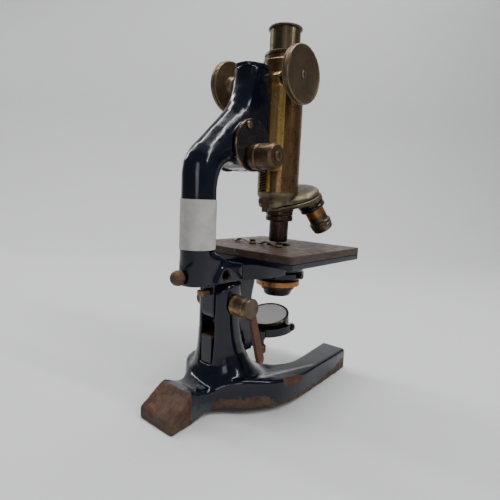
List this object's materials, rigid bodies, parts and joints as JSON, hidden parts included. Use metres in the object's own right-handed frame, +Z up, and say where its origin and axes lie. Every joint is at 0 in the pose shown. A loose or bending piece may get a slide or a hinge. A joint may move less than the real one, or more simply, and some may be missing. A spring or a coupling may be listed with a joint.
{
  "type": "compound microscope",
  "caption": "Brass compound microscope on a japanned cast horseshoe stand: tilting limb, rack focusing, turning nosepiece, square stage, condenser and swinging mirror.",
  "frame": {"origin": "on the floor plane, centred under the whole microscope's bounding box", "axes": "+Z up along the body tube, +Y from the heel towards the open side of the horseshoe, +X to the right of a user facing along +Y"},
  "size_m": [0.11, 0.1924, 0.2995],
  "materials": {
    "japan": "black japan lacquer, glossy, chipped and rusting along the base",
    "rust": "bare iron gone evenly brown with rust",
    "steel": "dull, browned steel",
    "brass": "lacquered brass, worn bright on edges",
    "patina": "brass with a deep brown patina",
    "dark": "blackened brass rubbed brown",
    "ebonite": "hard rubber stage top faded brown",
    "paper": "blank paper band, speckled grey",
    "mirror": "silvered glass, slightly hazed",
    "glass": "clear optical glass"
  },
  "bodies": {
    "stand": {"base_casting": "japan", "slot_filler": "rust", "hinge_bolt": "steel"},
    "clamp": {"clamp_nut": "patina", "clamp_lever": "rust"},
    "limb": {"limb_casting": "japan", "limb_lug": "japan", "stop_tab": "brass", "paper_band": "paper", "head_cap": "japan", "cap_screw_1": "brass", "cap_screw_2": "brass", "fine_plate_near": "brass", "fine_plate_far": "brass", "fine_plate_screw": "patina", "stage_bracket": "japan", "stage_plate_lower": "japan", "stage_plate_upper": "ebonite", "aperture_ring": "dark", "clip_post_near": "dark", "clip_post_far": "dark", "substage_mount": "japan", "mirror_arm": "japan"},
    "rear_clamp_screw": {"rear_screw": "rust"},
    "clip_near": {"stage_clip_near": "steel"},
    "clip_far": {"stage_clip_far": "steel"},
    "substage_clamp": {"substage_screw": "dark"},
    "condenser": {"condenser_sleeve": "brass", "condenser_cup": "dark", "condenser_lens": "glass"},
    "fork": {"mirror_fork": "japan", "fork_screw_right": "dark", "fork_screw_left": "dark", "fork_knob": "patina"},
    "mirror": {"mirror_cell": "brass", "mirror_glass": "mirror"},
    "fine_slide": {"guide_block": "brass"},
    "fine_drum": {"fine_drum": "patina", "fine_drum_screw": "patina"},
    "tube": {"body_tube": "patina", "tube_saddle": "brass", "rack": "dark", "tube_collar": "brass", "nosepiece_mount": "brass", "catch_spring": "rust"},
    "pinion": {"pinion": "steel", "coarse_head_near": "patina", "coarse_head_far": "patina", "coarse_screw_near": "patina", "coarse_screw_far": "patina"},
    "drawtube": {"drawtube": "patina", "drawtube_rim": "patina"},
    "eyepiece": {"eyepiece": "dark", "eye_lens": "glass"},
    "nosepiece": {"nosepiece_disc": "brass", "objective_collar_working": "dark", "objective_barrel_working": "dark", "objective_collar_second": "dark", "objective_barrel_second": "patina"}
  },
  "joints": [
    {"name": "clamp_turn", "type": "hinge", "parent": "stand", "child": "clamp", "pos_m": [0.024, -0.03625, 0.08], "axis": [1, 0, 0], "range_deg": [-20, 45]},
    {"name": "limb_tilt", "type": "hinge", "parent": "stand", "child": "limb", "pos_m": [0, -0.03625, 0.08], "axis": [1, 0, 0], "range_deg": [0, 80]},
    {"name": "rear_screw_turn", "type": "hinge", "parent": "limb", "child": "rear_clamp_screw", "pos_m": [0, -0.07875, 0.1029], "axis": [0, 1, 0], "continuous": true},
    {"name": "clip_near_swing", "type": "hinge", "parent": "limb", "child": "clip_near", "pos_m": [0.0143, 0.01575, 0.121], "axis": [0, 0, 1], "range_deg": [-3, 60]},
    {"name": "clip_far_swing", "type": "hinge", "parent": "limb", "child": "clip_far", "pos_m": [-0.0143, 0.01575, 0.121], "axis": [0, 0, 1], "range_deg": [-3, 60]},
    {"name": "substage_clamp_turn", "type": "hinge", "parent": "limb", "child": "substage_clamp", "pos_m": [0.023, 0.03625, 0.0943], "axis": [1, 0, 0], "continuous": true},
    {"name": "condenser_focus", "type": "slide", "parent": "limb", "child": "condenser", "axis": [0, 0, 1], "range_m": [-0.004, 0.001]},
    {"name": "fork_swivel", "type": "hinge", "parent": "limb", "child": "fork", "pos_m": [0.00774, 0.00586, 0.0416], "axis": [0, 0, 1], "range_deg": [-50, 12]},
    {"name": "mirror_tilt", "type": "hinge", "parent": "fork", "child": "mirror", "pos_m": [-0.003, 0.02965, 0.0485], "axis": [0.9816, 0.1908, 0], "range_deg": [-60, 60]},
    {"name": "fine_focus", "type": "slide", "parent": "limb", "child": "fine_slide", "axis": [0, 0, 1], "range_m": [-0.001, 0.001]},
    {"name": "fine_drum_turn", "type": "hinge", "parent": "limb", "child": "fine_drum", "pos_m": [0.027, -0.02175, 0.1905], "axis": [1, 0, 0], "continuous": true},
    {"name": "coarse_focus", "type": "slide", "parent": "fine_slide", "child": "tube", "axis": [0, 0, 1], "range_m": [0, 0.045]},
    {"name": "pinion_turn", "type": "hinge", "parent": "fine_slide", "child": "pinion", "pos_m": [0, 0.00385, 0.2517], "axis": [1, 0, 0], "range_deg": [0, 620]},
    {"name": "drawtube_pull", "type": "slide", "parent": "tube", "child": "drawtube", "axis": [0, 0, 1], "range_m": [0, 0.04]},
    {"name": "eyepiece_lift", "type": "slide", "parent": "drawtube", "child": "eyepiece", "axis": [0, 0, 1], "range_m": [0, 0.03]},
    {"name": "nosepiece_turn", "type": "hinge", "parent": "tube", "child": "nosepiece", "pos_m": [0, 0.04775, 0.1615], "axis": [0, -0.3256, 0.9455], "range_deg": [-120, 120]}
  ],
  "couplings": [
    {"joint": "pinion_turn", "follows": "coarse_focus", "rad_per_m": 238.1}
  ]
}
